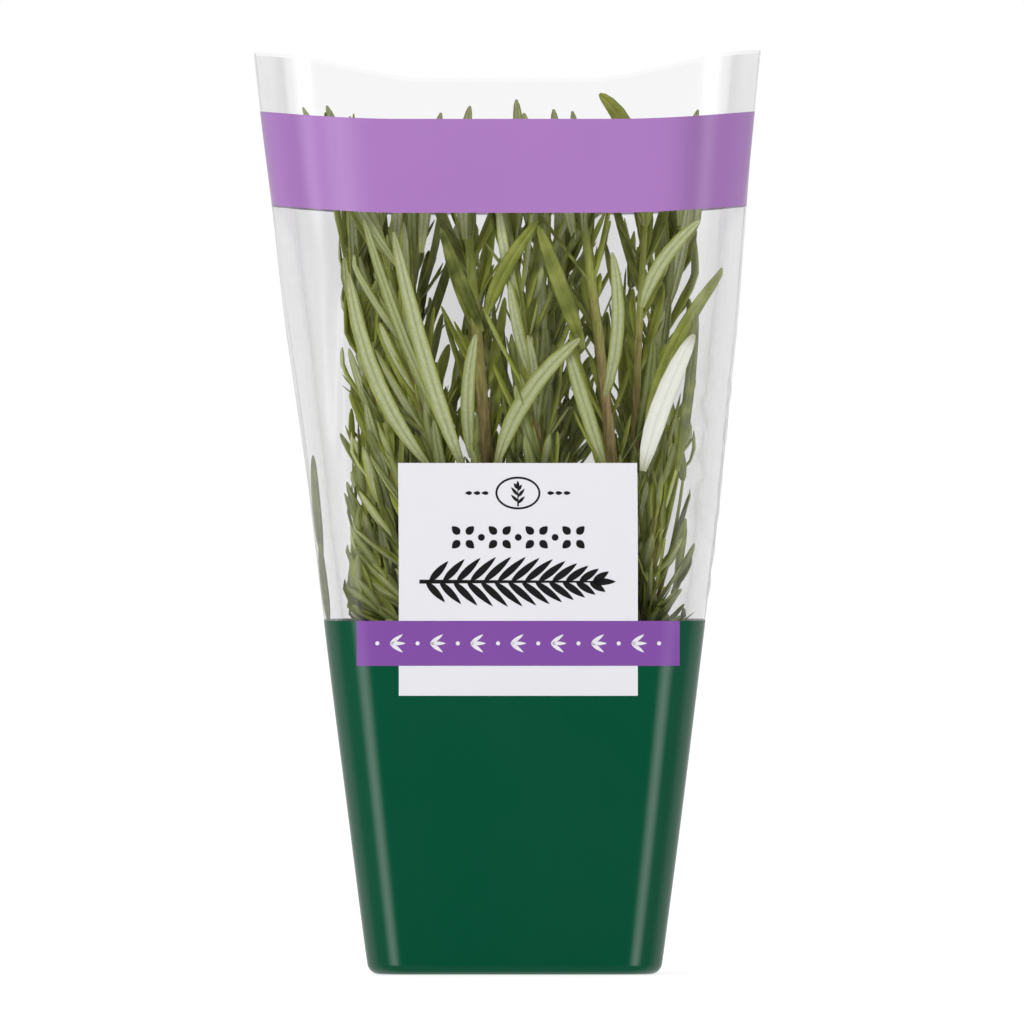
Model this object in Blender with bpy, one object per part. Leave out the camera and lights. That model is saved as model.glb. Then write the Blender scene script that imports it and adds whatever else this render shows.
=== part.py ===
"""Potted rosemary in a printed film sleeve: the sleeve, the pot, its compost, and leafy stems.

Metres, +Z up. The origin is the middle of the base, on the surface that the pot stands on.
The printed front faces -Y. Touching pieces keep a small gap, so that no two solids overlap.
"""

import math
import random

import bmesh
import bpy
from mathutils import Vector

# Film sleeve: a tapered tube of rounded-square section, folded in under the pot. Its front and back
# panels meet at welds down the middle of the left and right sides.
SLEEVE_HEIGHT = 0.263  # to the rim at the middle of the front
SLEEVE_BASE_HALF = 0.0429  # half the width across the flats
SLEEVE_MOUTH_HALF = 0.0735
SLEEVE_BOW = 0.001  # how far the sides swell past a straight taper
SLEEVE_BASE_CORNER = 0.012  # corner radius of the section
SLEEVE_MOUTH_CORNER = 0.0205
SLEEVE_WALL = 0.0003
SLEEVE_FOLD = 0.003  # radius of the fold where the sides meet the underside
SLEEVE_DRAIN_RADIUS = 0.014
RIM_RISE = 0.008  # the rim stands this much higher at the sides than at the middle of the front
RIM_RISE_START = 0.3  # share of the half width at which the rim starts to rise
RIM_RISE_POWER = 8  # how soon the rise fades below the rim

# Pot
POT_HEIGHT = 0.092
POT_WALL = 0.0012
POT_FLOOR = 0.0016
POT_CLEARANCE = 0.0008  # to the film
POT_RIM_DEPTH = 0.009
POT_RIM_STEP = 0.0014  # how far the rim band stands proud of the wall
POT_RIM_CHAMFER = 0.0006
POT_HOLE_RADIUS = 0.004
POT_HOLE_INSET = 0.011  # from the floor's edge to the middle of a hole

# Compost
COMPOST_BELOW_RIM = 0.008
COMPOST_MOUND = 0.003
SOCKET_DEPTH = 0.014  # how deep the stems are planted

GAP = 0.0003  # between touching pieces
SECTION_SIDE_STEPS = 8
SECTION_CORNER_STEPS = 4
SLEEVE_LEVELS = 7
FOLD_STEPS = 3
HOLE_SIDES = 12

# Stems
STEM_FOOT_RADIUS = 0.0019
STEM_TIP_RADIUS = 0.0009
STEM_SIDES = 6
STEM_SWAY = 0.002
BARE_LENGTH = 0.016  # woody stem without leaves above the compost
LEAVES_BELOW_RIM = 0.007  # from the rim at the middle of the front down to the highest leaf tip

# Leaves: needles that grow from a thin sheath round the stem, four at each node
SHEATH_WALL = 0.0005
NODE_SPACING = 0.0175
LEAF_LENGTH = 0.034
LEAF_WIDTH = 0.0042
LEAF_THICKNESS = 0.0011
LEAF_BASE_HEIGHT = 0.0026
LEAF_TIP_SHARE = 0.3  # width and thickness of the blunt tip, as a share of the middle's
LEAF_SPREAD = math.radians(36)  # between a leaf and its stem
LEAF_LEAST_SPREAD = math.radians(6)
LEAF_INCURVE = 0.55  # the outer half leans out by this share of the inner half's spread
LEAF_CLEARANCE = 0.0026  # from a leaf's middle line to the film, or to the next stem's share of the room
TIP_LEAF_REACH = 0.026  # how far the leaves reach past the stem's own tip

# Each shoot: foot x and y as shares of the compost's half width, tip x and y as shares of the
# sleeve's half width at that height, and the height of the tip as a share of the tallest.
SHOOTS = (
    (-0.58, -0.20, -0.74, -0.24, 1.00),
    (-0.10, -0.74, -0.56, -0.58, 0.95),
    (-0.08, -0.24, -0.18, -0.26, 0.97),
    (0.66, -0.48, 0.30, -0.56, 1.00),
    (0.70, 0.06, 0.58, -0.08, 0.96),
    (-0.40, 0.26, -0.68, 0.28, 0.97),
    (0.56, 0.56, 0.74, 0.36, 0.98),
    (-0.52, 0.74, -0.42, 0.70, 0.94),
    (0.10, 0.30, 0.12, 0.22, 0.98),
    (0.06, 0.80, 0.26, 0.70, 0.93),
    (0.26, -0.78, 0.02, -0.66, 0.90),
)


def smooth_step(share):
    share = min(max(share, 0.0), 1.0)
    return share * share * (3 - 2 * share)


def blend(first, last, share):
    return first + (last - first) * share


def sleeve_half(z):
    """Half the sleeve's outer width across the flats at a height."""
    share = z / SLEEVE_HEIGHT
    bow = 4 * SLEEVE_BOW * share * (1 - share)
    return blend(SLEEVE_BASE_HALF, SLEEVE_MOUTH_HALF, share) + bow


def sleeve_corner(z):
    return blend(SLEEVE_BASE_CORNER, SLEEVE_MOUTH_CORNER, z / SLEEVE_HEIGHT)


def rounded_square(half, corner, z):
    """A level outline of a square with round corners, anticlockwise from above."""
    flat = half - corner
    side = [(half, -flat + 2 * flat * i / SECTION_SIDE_STEPS) for i in range(SECTION_SIDE_STEPS)]
    turns = [math.pi / 2 * i / SECTION_CORNER_STEPS for i in range(SECTION_CORNER_STEPS)]
    arc = [(flat + corner * math.cos(a), flat + corner * math.sin(a)) for a in turns]
    quarter = side + arc
    points = []
    for _ in range(4):
        points += [Vector((x, y, z)) for x, y in quarter]
        quarter = [(-y, x) for x, y in quarter]
    return points


def ring(centre, radius, sides, turn=0.0):
    """A level ring of points round a centre, anticlockwise from above."""
    angles = [turn + math.tau * i / sides for i in range(sides)]
    return [centre + Vector((radius * math.cos(a), radius * math.sin(a), 0)) for a in angles]


def material(name, colour, roughness, metallic=0.0):
    made = bpy.data.materials.new(name)
    made.use_nodes = True
    shader = made.node_tree.nodes["Principled BSDF"]
    shader.inputs["Base Color"].default_value = (*colour, 1.0)
    shader.inputs["Roughness"].default_value = roughness
    shader.inputs["Metallic"].default_value = metallic
    made.diffuse_color = (*colour, 1.0)
    return made


def skin(bm, rings, growths=None, closed=True):
    """Join rings of points into one surface that faces out where the rings run anticlockwise and up.

    growths maps (ring index, side index) to the sections of a branch that grows from that face.
    Where closed is false the rows are open strips, and the surface has no ends.
    """
    rows = [[bm.verts.new(p) for p in points] for points in rings]
    for k, (lower, upper) in enumerate(zip(rows, rows[1:])):
        for i in range(len(lower) if closed else len(lower) - 1):
            j = (i + 1) % len(lower)
            quad = [lower[i], lower[j], upper[j], upper[i]]
            sections = (growths or {}).get((k, i))
            if sections:
                grow(bm, quad, sections)
            else:
                bm.faces.new(quad)
    if closed:
        bm.faces.new(reversed(rows[0]))
        bm.faces.new(rows[-1])


def grow(bm, quad, sections):
    """A branch of four-sided sections out of a quad, closed at its end."""
    for section in sections:
        outer = [bm.verts.new(p) for p in section]
        for i in range(4):
            j = (i + 1) % 4
            bm.faces.new([quad[i], quad[j], outer[j], outer[i]])
        quad = outer
    bm.faces.new(quad)


def mesh_object(name, bm, finish=None, sharp_angle=math.radians(35)):
    mesh = bpy.data.meshes.new(name)
    bm.to_mesh(mesh)
    bm.free()
    if finish:
        mesh.materials.append(finish)
    mesh.shade_smooth()
    mesh.set_sharp_from_angle(angle=sharp_angle)
    made = bpy.data.objects.new(name, mesh)
    bpy.context.scene.collection.objects.link(made)
    return made


def cut(target, cutter):
    cutter.hide_render = True
    cutter.display_type = "WIRE"
    boolean = target.modifiers.new("cut_" + cutter.name, "BOOLEAN")
    boolean.operation = "DIFFERENCE"
    boolean.solver = "EXACT"
    boolean.object = cutter


# Film sleeve: the front and back panels


def sleeve_ring(z):
    """The sleeve's outline whose middle is at z: towards the rim its sides rise."""
    points = []
    for p in rounded_square(sleeve_half(z), sleeve_corner(z), z):
        across = abs(p.x) / sleeve_half(z)
        rise = RIM_RISE * smooth_step((across - RIM_RISE_START) / (1 - RIM_RISE_START))
        height = z + rise * (z / SLEEVE_HEIGHT) ** RIM_RISE_POWER
        widen = sleeve_half(height) / sleeve_half(z)
        points.append(Vector((p.x * widen, p.y * widen, height)))
    return points


def panel_half(points, front):
    """The half of an outline on one side of the side welds, which keep a gap between the panels."""
    quarter = len(points) // 4
    first = SECTION_SIDE_STEPS // 2 + (2 * quarter if front else 0)
    chosen = [points[(first + i) % len(points)].copy() for i in range(2 * quarter + 1)]
    for end in (chosen[0], chosen[-1]):
        end.y = -GAP / 2 if front else GAP / 2
    return chosen


def sleeve_rings():
    """The outlines of the sleeve from the drain opening out along the underside, then up to the rim."""
    bottom_half = SLEEVE_BASE_HALF - SLEEVE_FOLD
    underside = rounded_square(bottom_half, SLEEVE_BASE_CORNER - SLEEVE_FOLD, 0)
    rings = [[SLEEVE_DRAIN_RADIUS * p.normalized() for p in underside], underside]
    for i in range(1, FOLD_STEPS + 1):
        angle = math.pi / 2 * i / FOLD_STEPS
        out = SLEEVE_FOLD * math.sin(angle)
        up = SLEEVE_FOLD * (1 - math.cos(angle))
        half = bottom_half + out + (sleeve_half(up) - SLEEVE_BASE_HALF)
        rings.append(rounded_square(half, SLEEVE_BASE_CORNER - SLEEVE_FOLD + out, up))
    heights = [blend(SLEEVE_FOLD, SLEEVE_HEIGHT, i / SLEEVE_LEVELS) for i in range(1, SLEEVE_LEVELS + 1)]
    return rings + [sleeve_ring(z) for z in heights]


def sleeve_panel(name, front, finish):
    bm = bmesh.new()
    skin(bm, [panel_half(points, front) for points in sleeve_rings()], closed=False)
    panel = mesh_object(name, bm, finish)
    wall = panel.modifiers.new("film", "SOLIDIFY")
    wall.thickness = SLEEVE_WALL
    wall.offset = -1
    wall.use_even_offset = True


# Pot


def pot_bottom():
    return SLEEVE_WALL + GAP


def pot_top():
    return pot_bottom() + POT_HEIGHT


def pot_rim_half(z):
    """Half the width of the rim band, which fits inside the sleeve."""
    return sleeve_half(z) - SLEEVE_WALL - POT_CLEARANCE


def pot_wall_half(z):
    return pot_rim_half(z) - POT_RIM_STEP


def pot_outline(half, z):
    return rounded_square(half, sleeve_corner(z) - (sleeve_half(z) - half), z)


def nursery_pot(finish):
    bottom, top = pot_bottom(), pot_top()
    shoulder = top - POT_RIM_DEPTH
    floor_top = bottom + POT_FLOOR
    foot = bottom + SLEEVE_FOLD
    outer = [
        pot_outline(pot_wall_half(foot) - SLEEVE_FOLD / 2, bottom),
        pot_outline(pot_wall_half(foot), foot),
        pot_outline(pot_wall_half(shoulder), shoulder),
        pot_outline(pot_rim_half(shoulder + POT_RIM_CHAMFER), shoulder + POT_RIM_CHAMFER),
        pot_outline(pot_rim_half(top - POT_RIM_CHAMFER), top - POT_RIM_CHAMFER),
        pot_outline(pot_rim_half(top) - POT_RIM_CHAMFER, top),
    ]
    inner = [
        pot_outline(pot_wall_half(top) - POT_WALL, top),
        pot_outline(pot_wall_half(foot) - POT_WALL, foot),
        pot_outline(pot_wall_half(foot) - POT_WALL - SLEEVE_FOLD / 2, floor_top),
    ]
    bm = bmesh.new()
    skin(bm, outer + inner)
    pot = mesh_object("nursery_pot", bm, finish)
    holes = bmesh.new()
    reach = pot_wall_half(foot) - POT_HOLE_INSET
    centres = [(0, 0)] + [(reach * x, reach * y) for x in (-1, 1) for y in (-1, 1)]
    for x, y in centres:
        below, above = Vector((x, y, bottom - POT_FLOOR)), Vector((x, y, floor_top + POT_FLOOR))
        skin(holes, [ring(c, POT_HOLE_RADIUS, HOLE_SIDES) for c in (below, above)])
    cut(pot, mesh_object("pot_hole_cutter", holes))


# Shoots: the path of a stem is a straight line with a slight sway


def compost_top():
    return pot_top() - COMPOST_BELOW_RIM


def stem_foot_height():
    return compost_top() - SOCKET_DEPTH


def stem_tip_height(shoot):
    ground = compost_top()
    highest = SLEEVE_HEIGHT - LEAVES_BELOW_RIM
    return blend(ground, highest, shoot[4]) - TIP_LEAF_REACH


def stem_axis(index, z):
    """The middle of a stem at a height. Above its tip the line runs on."""
    foot_x, foot_y, tip_x, tip_y, _ = SHOOTS[index]
    tip_height = stem_tip_height(SHOOTS[index])
    low = pot_wall_half(compost_top()) - POT_WALL
    high = sleeve_half(tip_height)
    share = (z - compost_top()) / (tip_height - compost_top())
    sway = STEM_SWAY * math.sin(math.pi * min(max(share, 0.0), 1.0))
    angle = 2.4 * index
    x = blend(foot_x * low, tip_x * high, share) + sway * math.cos(angle)
    y = blend(foot_y * low, tip_y * high, share) + sway * math.sin(angle)
    return Vector((x, y, z))


def stem_radius(index, z):
    share = (z - stem_foot_height()) / (stem_tip_height(SHOOTS[index]) - stem_foot_height())
    return blend(STEM_FOOT_RADIUS, STEM_TIP_RADIUS, share)


def node_heights(index):
    """Where the leaves grow: evenly from just above the compost to just below the stem's tip."""
    first = compost_top() + COMPOST_MOUND + BARE_LENGTH
    last = stem_tip_height(SHOOTS[index]) - 1.5 * LEAF_BASE_HEIGHT
    steps = round((last - first) / NODE_SPACING)
    return [blend(first, last, i / steps) for i in range(steps + 1)]


def stem(index, finish):
    heights = [stem_foot_height(), compost_top(), *node_heights(index), stem_tip_height(SHOOTS[index])]
    rings = [ring(stem_axis(index, z), stem_radius(index, z), STEM_SIDES) for z in heights]
    bm = bmesh.new()
    skin(bm, rings)
    mesh_object(f"stem_{index + 1:02d}", bm, finish, math.radians(70))


def sheath_ring(index, z, clearance, turn):
    """A square ring round the stem; clearance is from the stem to the square's flats."""
    half = stem_radius(index, z) + clearance
    return ring(stem_axis(index, z), half * math.sqrt(2), 4, turn)


def inside_sleeve(point):
    half = sleeve_half(point.z) - SLEEVE_WALL - LEAF_CLEARANCE
    corner = sleeve_corner(point.z) - SLEEVE_WALL - LEAF_CLEARANCE
    x, y = abs(point.x), abs(point.y)
    past_x, past_y = max(x - half + corner, 0.0), max(y - half + corner, 0.0)
    return math.hypot(past_x, past_y) <= corner


def in_own_room(point, index):
    """Whether a point is clearly nearer to its own stem than to any other."""
    own = (point - stem_axis(index, point.z)).length
    for other in range(len(SHOOTS)):
        if other != index and (point - stem_axis(other, point.z)).length - own < 2 * LEAF_CLEARANCE:
            return False
    return True


def leaf_section(centre, direction, side, width, thickness):
    """Four corners, in the order of the sheath's face that the leaf grows from."""
    across, through = side * width / 2, direction.cross(side) * thickness / 2
    return [
        centre - across - through,
        centre + across - through,
        centre + across + through,
        centre - across + through,
    ]


def leaf(index, base, outward, up, length, spread):
    """The middle and tip sections of a leaf, or None where it would leave its own room."""
    side = up.cross(outward).normalized()
    inner = up * math.cos(spread) + outward * math.sin(spread)
    outer_spread = spread * LEAF_INCURVE
    outer = up * math.cos(outer_spread) + outward * math.sin(outer_spread)
    middle = base + inner * length / 2
    tip = middle + outer * length / 2
    for point in (middle, middle.lerp(tip, 0.5), tip):
        if not (inside_sleeve(point) and in_own_room(point, index)):
            return None
    return [
        leaf_section(middle, inner, side, LEAF_WIDTH, LEAF_THICKNESS),
        leaf_section(tip, outer, side, LEAF_WIDTH * LEAF_TIP_SHARE, LEAF_THICKNESS * LEAF_TIP_SHARE),
    ]


def fitted_leaf(index, base, outward, up, length, spread):
    """The widest-spread, then longest, leaf that fits from this point, if one does."""
    for shorten in (1.0, 0.85, 0.7):
        for steps in range(5):
            lean = blend(spread, LEAF_LEAST_SPREAD, steps / 4)
            sections = leaf(index, base, outward, up, length * shorten, lean)
            if sections:
                return sections
    return None


def leaves(index, finish):
    """One set of leaves: a thin closed-topped sheath round the stem with the leaves growing from it."""
    chance = random.Random(11 + index)
    turn = 0.65 * index
    heights = node_heights(index)
    tip = stem_tip_height(SHOOTS[index])
    hollow = [*heights, tip + GAP]
    rings = [sheath_ring(index, z, GAP, turn) for z in reversed(hollow)]
    growths = {}
    for node, z in enumerate(heights):
        up = (stem_axis(index, z + NODE_SPACING) - stem_axis(index, z)).normalized()
        crowded = node == len(heights) - 1
        for face in range(4):
            angle = turn + math.pi / 4 + face * math.pi / 2
            centre = stem_axis(index, z + LEAF_BASE_HEIGHT / 2)
            half = stem_radius(index, z) + GAP + SHEATH_WALL
            base = centre + Vector((half * math.cos(angle), half * math.sin(angle), 0))
            angle += math.radians(chance.uniform(-24, 24))
            outward = Vector((math.cos(angle), math.sin(angle), 0))
            outward = (outward - up * outward.dot(up)).normalized()
            spread = LEAF_SPREAD * chance.uniform(0.75, 1.0) * (0.6 if crowded else 1.0)
            length = LEAF_LENGTH * chance.uniform(0.8, 1.0) * (0.8 if crowded else 1.0)
            sections = fitted_leaf(index, base, outward, up, length, spread)
            if sections:
                growths[len(rings), face] = sections
        rings.append(sheath_ring(index, z, GAP + SHEATH_WALL, turn))
        rings.append(sheath_ring(index, z + LEAF_BASE_HEIGHT, GAP + SHEATH_WALL, turn))
    rings.append(sheath_ring(index, tip + GAP + SHEATH_WALL, GAP + SHEATH_WALL, turn))
    bm = bmesh.new()
    skin(bm, rings, growths)
    mesh_object(f"leaves_{index + 1:02d}", bm, finish)


# Compost


def compost(finish):
    """The plug of compost: it fills the pot, its top is a low mound, and each stem has its socket."""
    low = pot_bottom() + POT_FLOOR + GAP
    foot = pot_bottom() + SLEEVE_FOLD
    top = compost_top()

    def outline(z, inset=0.0):
        return pot_outline(pot_wall_half(z) - POT_WALL - GAP - inset, z)

    slope = pot_wall_half(foot) - POT_WALL - SLEEVE_FOLD / 2
    rings = [pot_outline(slope - GAP, low), outline(foot + GAP), outline(top)]
    edge = rings[-1]
    for share in (0.66, 0.33):
        rise = COMPOST_MOUND * math.cos(share * math.pi / 2)
        rings.append([Vector((p.x * share, p.y * share, top + rise)) for p in edge])
    bm = bmesh.new()
    skin(bm, rings)
    plug = mesh_object("compost", bm, finish)
    sockets = bmesh.new()
    above = top + 2 * COMPOST_MOUND
    for index in range(len(SHOOTS)):
        ends = (stem_foot_height() - GAP, above)
        rings = [ring(stem_axis(index, z), stem_radius(index, z) + GAP, STEM_SIDES) for z in ends]
        skin(sockets, rings)
    cut(plug, mesh_object("socket_cutter", sockets))


def main():
    for obj in list(bpy.data.objects):
        bpy.data.objects.remove(obj, do_unlink=True)
    film = material("printed_film", (0.0, 0.08, 0.04), 0.25)
    sleeve_panel("sleeve_front", True, film)
    sleeve_panel("sleeve_back", False, film)
    nursery_pot(material("pot_plastic", (0.02, 0.02, 0.02), 0.5))
    compost(material("compost", (0.035, 0.02, 0.012), 0.95))
    wood = material("stem_bark", (0.20, 0.15, 0.08), 0.8)
    green = material("leaf_green", (0.15, 0.22, 0.05), 0.5)
    for index in range(len(SHOOTS)):
        stem(index, wood)
        leaves(index, green)


main()
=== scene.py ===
"""Looks of the potted rosemary: printed film sleeve, leafy shoots, compost and pot, in soft studio light.

Metres, +Z up, the sleeve's printed front faces -Y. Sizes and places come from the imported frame.
"""

import math

import bpy
import numpy as np
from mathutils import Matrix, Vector


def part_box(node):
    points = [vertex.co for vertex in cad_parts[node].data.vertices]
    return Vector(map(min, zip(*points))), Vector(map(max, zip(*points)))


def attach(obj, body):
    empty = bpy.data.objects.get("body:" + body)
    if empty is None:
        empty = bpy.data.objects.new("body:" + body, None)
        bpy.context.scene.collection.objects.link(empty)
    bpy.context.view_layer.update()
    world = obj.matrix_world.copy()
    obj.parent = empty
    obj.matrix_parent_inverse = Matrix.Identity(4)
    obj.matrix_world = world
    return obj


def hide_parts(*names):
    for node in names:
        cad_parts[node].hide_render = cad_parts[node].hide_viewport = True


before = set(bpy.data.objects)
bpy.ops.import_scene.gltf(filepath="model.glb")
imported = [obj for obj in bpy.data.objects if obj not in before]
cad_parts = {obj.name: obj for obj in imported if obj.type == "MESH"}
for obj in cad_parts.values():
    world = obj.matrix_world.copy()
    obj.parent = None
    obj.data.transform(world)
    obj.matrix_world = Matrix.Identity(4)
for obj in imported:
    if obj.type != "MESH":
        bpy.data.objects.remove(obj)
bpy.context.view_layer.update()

BODY = "root"
MM = 0.001
PER_METRE = 1000  # millimetres

# ---- the sleeve's shape, from the frame

BASE_CORNER = 0.012  # corner radius of the section at the base
MOUTH_CORNER = 0.0205  # and at the rim
FOLD = 0.003  # where the sides turn in under the pot
DRAIN_RADIUS = 0.014

GREEN_TOP = 0.104  # edges of the printed zones, at the middle of the front
BAND_BOTTOM = 0.2236
BAND_TOP = 0.2511
BAND_RISE = 0.0023  # the band's edges rise this much at the corners
RIM_RISE_START = 0.3  # share of the half width at which the rim starts to rise
RIM_TILT = 0.0004  # the rim is this much higher at the right corners and lower at the left ones

SIDE_STEPS = 40
WELD_STEPS = (-0.03, -0.014, 0.014, 0.03)  # extra columns beside the middle of each side
CORNER_STEPS = 26
WELD_WIDTH = 0.00045
WELD_HEIGHT = 0.00022

INK_OFFSET = 0.00005  # how far each layer of print stands outside the film
BACK_OFFSET = 0.000025  # the back panel lies under the other print
LABEL_OFFSET = 0.0001
RIBBON_OFFSET = 0.00016
ART_OFFSET = 0.00005  # artwork above the sheet that it is printed on


def smooth(share):
    share = np.clip(share, 0.0, 1.0)
    return share * share * (3 - 2 * share)


MOUTH_LEAN = 0.0022  # the mouth of the sleeve leans this much to the left
LEAN_FROM, LEAN_TO = 0.12, 0.271  # heights between which the lean grows


def lean(z):
    """How far the loose upper sleeve and the plant in it lean to one side at a height."""
    return -MOUTH_LEAN * smooth((z - LEAN_FROM) / (LEAN_TO - LEAN_FROM))


def vertices_of(node):
    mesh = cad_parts[node].data
    points = np.empty(len(mesh.vertices) * 3)
    mesh.vertices.foreach_get("co", points)
    return np.unique(np.round(points.reshape(-1, 3), 6), axis=0)


def sleeve_profile():
    """The half width as a quadratic of the height, and the rim's height at the middle of the front."""
    points = vertices_of("sleeve_front")
    flat = points[(abs(points[:, 0]) < 0.7 * -points[:, 1]) & (points[:, 2] > 0.9 * FOLD)]
    heights, halves = flat[:, 2], -flat[:, 1]
    for _ in range(4):
        fit = np.polyfit(heights, halves, 2)
        outer = halves > np.polyval(fit, heights) - 0.05 * MM
        heights, halves = heights[outer], halves[outer]
    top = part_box("sleeve_front")[1].z
    return fit, float(points[points[:, 2] > 0.92 * top][:, 2].min())


PROFILE, RIM = sleeve_profile()
RIM_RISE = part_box("sleeve_front")[1].z - RIM


def half_at(z):
    return np.polyval(PROFILE, z)


def corner_at(z):
    return BASE_CORNER + (MOUTH_CORNER - BASE_CORNER) * z / RIM


def slope_at(z):
    """How fast the half width grows with height."""
    return np.polyval(np.polyder(PROFILE), z)


def ripple(points, length, seed, count=12):
    """A smooth random height of about unit size, whose waves are about this long."""
    chance = np.random.default_rng(seed)
    total = np.zeros(points.shape[:-1])
    for _ in range(count):
        way = chance.normal(size=3)
        way /= np.linalg.norm(way)
        wave = math.tau / (length * chance.uniform(0.7, 1.5))
        total += np.sin(points @ way * wave + chance.uniform(0, math.tau))
    return total / math.sqrt(count / 2)


# A dent in the clear film of the front: x and z of its upper and its lower end
DENT_TOP, DENT_FOOT = (-0.0505, 0.208), (-0.052, 0.148)
DENT_WIDTH = 0.0045
DENT_DEPTH = 0.0007
DENT_END = 0.25  # share of its length over which it runs out at each end
DENT_STEEP = 0.35  # width of its steep side as a share of its gentle side


def dent(points):
    """How deep the dent is at each point, steep on one side and gentle on the other."""
    along = np.array(DENT_FOOT) - DENT_TOP
    length = np.linalg.norm(along)
    along /= length
    dx, dz = points[..., 0] - DENT_TOP[0], points[..., 2] - DENT_TOP[1]
    run = (dx * along[0] + dz * along[1]) / length
    across = (dx * -along[1] + dz * along[0]) / DENT_WIDTH
    ends = smooth(run / DENT_END) * smooth((1 - run) / DENT_END)
    fall = np.where(across > 0, smooth(1 - across / DENT_STEEP), smooth(1 + across))
    return DENT_DEPTH * ends * fall * (points[..., 1] < 0)


def film_relief(points):
    """How far the film stands proud of its smooth shape.

    Soft waves all over, finer ones in the loose clear film, small crinkles at its right corner, the welds and a dent.
    """
    x, y, z = points[..., 0], points[..., 1], points[..., 2]
    loose = smooth((z - GREEN_TOP - 0.002) / 0.03)
    on_label = smooth((0.04 - abs(x)) / 0.008) * smooth((0.158 - z) / 0.008) * (y < 0)
    on_band = smooth((z - BAND_BOTTOM + 0.006) / 0.008)
    big = (0.05 + 0.2 * loose * (1 - 0.8 * on_label)) * MM * ripple(points * (1, 1, 0.6), 0.055, 3)
    big *= 1 - 0.7 * smooth((z - 0.22) / 0.02)
    small = 0.035 * loose * (1 - on_label) * (1 - 0.8 * on_band) * MM * ripple(points * (1, 1, 0.4), 0.016, 5)
    at_corner = smooth((abs(x) / half_at(z) - 0.78) / 0.1) * smooth((z - GREEN_TOP) / 0.01)
    at_corner *= smooth((0.2 - z) / 0.03) * (x > 0)
    ticks = 0.16 * at_corner * MM * ripple(points * (0.5, 0.5, 1.0), 0.0075, 9)
    weld = WELD_HEIGHT * np.exp(-((y / WELD_WIDTH) ** 2)) * (abs(x) > 0.5 * half_at(z)) * (z > FOLD)
    return big + small + ticks + weld - dent(points) * loose


def columns():
    """Each column of the section: its quarter turn, its place along a side, and its angle in the corner."""
    places = np.sort(np.concatenate([np.linspace(-1, 1, SIDE_STEPS + 1), WELD_STEPS]))[:-1]
    angles = math.pi / 2 * np.arange(CORNER_STEPS) / CORNER_STEPS
    along = np.concatenate([places, np.ones(CORNER_STEPS)])
    turn = np.concatenate([np.zeros(len(places)), angles])
    count = len(along)
    return np.repeat(np.arange(4), count), np.tile(along, 4), np.tile(turn, 4)


QUARTER, ALONG, TURN = columns()


def section(half, corner):
    """x, y and outward direction of every column, for half widths that are equal or differ from point to point."""
    flat = half - corner
    x = flat + corner * np.cos(TURN)
    y = np.where(TURN > 0, flat + corner * np.sin(TURN), flat * ALONG)
    nx, ny = np.cos(TURN) + 0 * x, np.sin(TURN) + 0 * x
    for quarter in range(3):
        turned = QUARTER > quarter
        x, y = np.where(turned, -y, x), np.where(turned, x, y)
        nx, ny = np.where(turned, -ny, nx), np.where(turned, nx, ny)
    return x, y, nx, ny


def row_rise(place, z):
    """How far above its height at the middle a row of the film lies, at this place across the half width."""
    share = abs(place)
    band = BAND_RISE * np.clip((share - 0.45) / 0.55, 0, 1) ** 1.7 * np.minimum(z / BAND_BOTTOM, 1) ** 8
    rim = (RIM_RISE + RIM_TILT * place) * smooth((share - RIM_RISE_START) / (1 - RIM_RISE_START))
    past = np.clip((z - BAND_TOP) / (RIM - BAND_TOP), 0, 1)
    return band + (rim - band) * past


def wall_points(levels, offset):
    """Rows of points on the sleeve's walls, this far outside the film."""
    z = np.repeat(np.array(levels)[:, None], len(ALONG), axis=1)
    x, _, _, _ = section(half_at(z), corner_at(z))
    z = z + row_rise(x / half_at(z), z)
    x, y, nx, ny = section(half_at(z), corner_at(z))
    points = np.stack([x, y, z], axis=-1)
    normals = np.stack([nx, ny, -slope_at(z)], axis=-1)
    normals /= np.linalg.norm(normals, axis=-1, keepdims=True)
    return points + normals * (offset + film_relief(points))[..., None]


def underside_points(offset):
    """Rows of points from the drain opening out along the underside and round the fold."""
    bottom_half, bottom_corner = half_at(0.0) - FOLD, BASE_CORNER - FOLD
    x, y, _, _ = section(bottom_half, bottom_corner)
    edge = np.stack([x, y, 0 * x], axis=-1)
    rows = [edge / np.linalg.norm(edge, axis=-1, keepdims=True) * DRAIN_RADIUS]
    rows += [rows[0] + (edge - rows[0]) * share for share in (0.33, 0.66, 1.0)]
    for angle in np.linspace(0, math.pi / 2, 6)[1:]:
        out, up = FOLD * math.sin(angle), FOLD * (1 - math.cos(angle))
        x, y, _, _ = section(bottom_half + out + (half_at(up) - half_at(0.0)), bottom_corner + out)
        rows.append(np.stack([x, y, up + 0 * x], axis=-1))
    rows = np.array(rows)
    away = rows - np.array([0, 0, 0.02])  # outward from a point above the middle
    away /= np.linalg.norm(away, axis=-1, keepdims=True)
    return rows + away * offset


def levels_between(low, high, spacing):
    return list(np.linspace(low, high, max(2, round((high - low) / spacing) + 1)))


GREEN_LEVELS = levels_between(FOLD, GREEN_TOP, 0.0026)[1:]
CLEAR_LEVELS = levels_between(GREEN_TOP, BAND_BOTTOM, 0.0015)
BAND_LEVELS = levels_between(BAND_BOTTOM, BAND_TOP, 0.0019)
RIM_LEVELS = levels_between(BAND_TOP, RIM, 0.0015)


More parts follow.
